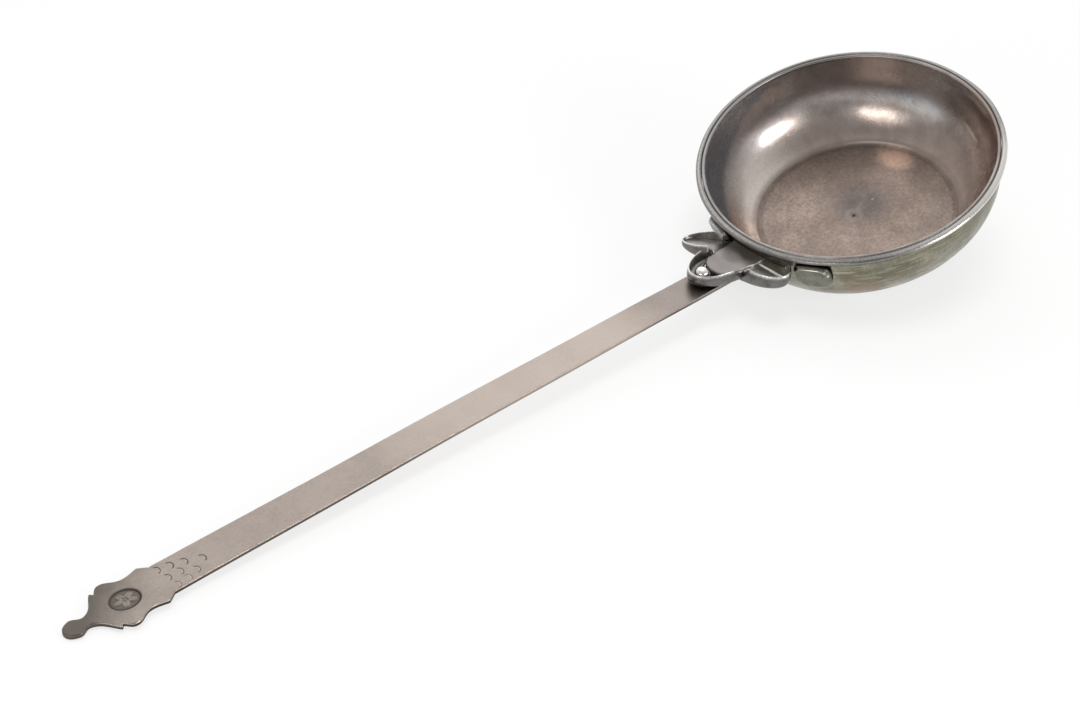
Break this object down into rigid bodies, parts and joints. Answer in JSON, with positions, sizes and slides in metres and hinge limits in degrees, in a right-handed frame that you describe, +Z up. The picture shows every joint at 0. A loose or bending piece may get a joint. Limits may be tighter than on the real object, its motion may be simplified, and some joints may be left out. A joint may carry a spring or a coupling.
{
  "type": "wine ladle",
  "caption": "Long-handled silver wine ladle: shallow round bowl with a rim wire, petalled bracket and a flat strap handle ending in a cut-out terminal with a knob.",
  "frame": {"origin": "middle of the ladle's footprint on the table, as it lies on the edge of its base and the end of its handle", "axes": "+X along the ladle from the handle's tip towards the bowl, +Z up from the table"},
  "size_m": [0.3122, 0.09, 0.0459],
  "materials": {
    "bowl_silver": "aged silver, warm brown tarnish inside, hand-planished",
    "rim_silver": "silver wire worn bright",
    "strap_silver": "forged silver, soft satin with light scratches",
    "tongue_silver": "silver sheet, satin",
    "petal_silver": "silver sheet, dark tarnish with bright worn rims",
    "wing_silver": "silver sheet, olive-grey tarnish",
    "rivet_silver": "silver rivet worn bright"
  },
  "bodies": {
    "root": {"bowl": "bowl_silver", "rim_wire": "rim_silver", "handle_strap": "strap_silver", "bracket_tongue": "tongue_silver", "centre_petal": "petal_silver", "left_petal": "petal_silver", "right_petal": "petal_silver", "left_wing_petal": "wing_silver", "right_wing_petal": "wing_silver", "handle_rivet": "rivet_silver"}
  },
  "joints": []
}
